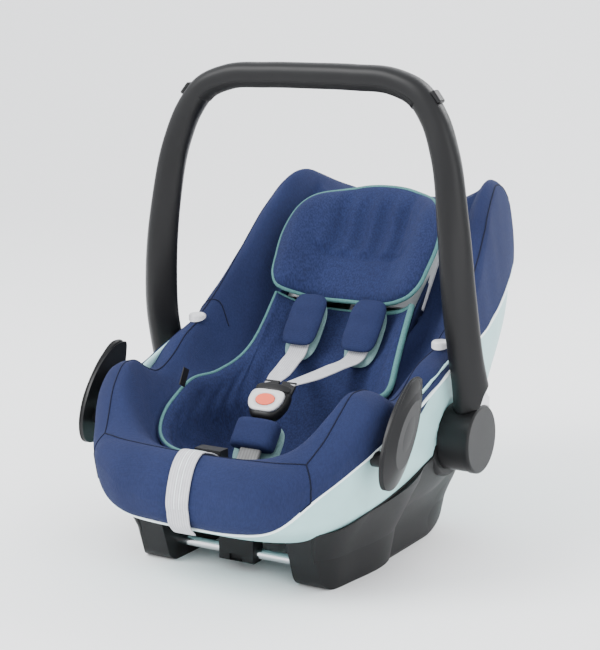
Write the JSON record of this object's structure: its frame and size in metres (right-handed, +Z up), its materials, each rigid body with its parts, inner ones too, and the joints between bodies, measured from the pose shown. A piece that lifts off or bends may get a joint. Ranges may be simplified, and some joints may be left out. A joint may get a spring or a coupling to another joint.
{
  "type": "infant car seat",
  "caption": "Rear-facing infant carrier with a padded bucket, sliding headrest, buckled harness and a swing-over carry handle on a rocker base.",
  "frame": {"origin": "on the ground under the middle of the whole seat", "axes": "+Z up, +Y towards the head end, +X to the side that is on the right seen from the foot end"},
  "size_m": [0.4594, 0.6527, 0.5749],
  "materials": {
    "seat_fabric": "woven melange cloth over foam, deep blue",
    "inner_foam": "expanded foam, pale",
    "mint_shell": "moulded, pale mint, fine grain",
    "mint_fabric": "smooth pale mint cloth",
    "black_plastic": "moulded, black, fine grain",
    "grip_black": "soft grip, black",
    "white_plastic": "moulded, white grey, satin",
    "grey_plastic": "moulded, light grey",
    "red_button": "moulded, orange red",
    "webbing": "woven harness webbing, light grey",
    "stalk_web": "stiff woven webbing, mid grey",
    "bar_steel": "polished steel bar",
    "steel": "zinc plated",
    "tag_black": "woven tag, black"
  },
  "bodies": {
    "root": {"seat_shell": "mint_shell", "foam_liner": "inner_foam", "headrest_rail": "grey_plastic", "seat_cover": "seat_fabric", "seat_inlay": "seat_fabric", "base_rocker_left": "black_plastic", "base_rocker_right": "black_plastic", "base_pan": "black_plastic", "base_screws": "steel", "front_bar": "bar_steel", "rear_bar": "bar_steel", "bar_clip": "black_plastic", "hub_housing_left": "black_plastic", "hub_housing_right": "black_plastic", "pivot_pin_left": "steel", "pivot_pin_right": "steel", "lock_ring_left": "steel", "lock_ring_right": "steel", "shoulder_strap_left": "webbing", "shoulder_strap_right": "webbing", "harness_yoke": "steel", "crotch_stalk": "stalk_web", "crotch_pad": "seat_fabric", "crotch_pad_backing": "mint_fabric", "buckle_housing": "black_plastic", "button_spring_buckle": "steel", "belt_guide_left": "black_plastic", "belt_guide_right": "black_plastic", "canopy_stud_left": "white_plastic", "canopy_stud_right": "white_plastic", "adjuster_strap": "webbing", "adjuster_housing": "grey_plastic", "fabric_tag": "tag_black", "rear_belt_guide": "black_plastic"},
    "handle": {"handle_arch": "black_plastic", "grip_insert": "grip_black", "canopy_hook_left": "black_plastic", "canopy_hook_right": "black_plastic", "hub_drum_left": "black_plastic", "hub_drum_right": "black_plastic", "hub_cap_left": "black_plastic", "hub_cap_right": "black_plastic", "button_spring_left": "steel", "button_spring_right": "steel"},
    "release_button_left": {"release_button_left": "white_plastic"},
    "release_button_right": {"release_button_right": "white_plastic"},
    "buckle_button": {"buckle_button": "red_button"},
    "adjuster_lever": {"adjuster_lever": "white_plastic"},
    "tongue_left": {"tongue_left": "black_plastic", "lower_strap_left": "webbing"},
    "tongue_right": {"tongue_right": "black_plastic", "lower_strap_right": "webbing"},
    "headrest": {"headrest_cushion": "seat_fabric", "headrest_carrier": "white_plastic", "headrest_grip": "grey_plastic", "shoulder_pad_left": "seat_fabric", "shoulder_pad_right": "seat_fabric", "pad_backing_left": "mint_fabric", "pad_backing_right": "mint_fabric"}
  },
  "joints": [
    {"name": "handle_tilt", "type": "hinge", "parent": "root", "child": "handle", "pos_m": [0, -0.0129, 0.143], "axis": [-1, 0, 0], "range_deg": [0, 100]},
    {"name": "headrest_height", "type": "slide", "parent": "root", "child": "headrest", "axis": [0, 0.6225, 0.7826], "range_m": [0, 0.06]},
    {"name": "release_left", "type": "slide", "parent": "handle", "child": "release_button_left", "axis": [1, 0, 0], "range_m": [0, 0.004], "stiffness_N_per_m": 900, "springref_m": -0.003},
    {"name": "release_right", "type": "slide", "parent": "handle", "child": "release_button_right", "axis": [-1, 0, 0], "range_m": [0, 0.004], "stiffness_N_per_m": 900, "springref_m": -0.003},
    {"name": "buckle_press", "type": "slide", "parent": "root", "child": "buckle_button", "axis": [0, 0.6691, -0.7431], "range_m": [0, 0.003], "stiffness_N_per_m": 2000, "springref_m": -0.002},
    {"name": "adjuster_press", "type": "slide", "parent": "root", "child": "adjuster_lever", "axis": [0, -1, 0], "range_m": [0, 0.003], "stiffness_N_per_m": 1200, "springref_m": -0.002},
    {"name": "tongue_pull_left", "type": "slide", "parent": "root", "child": "tongue_left", "axis": [0, 0.7431, 0.6691], "range_m": [0, 0.018]},
    {"name": "tongue_pull_right", "type": "slide", "parent": "root", "child": "tongue_right", "axis": [0, 0.7431, 0.6691], "range_m": [0, 0.018]}
  ]
}
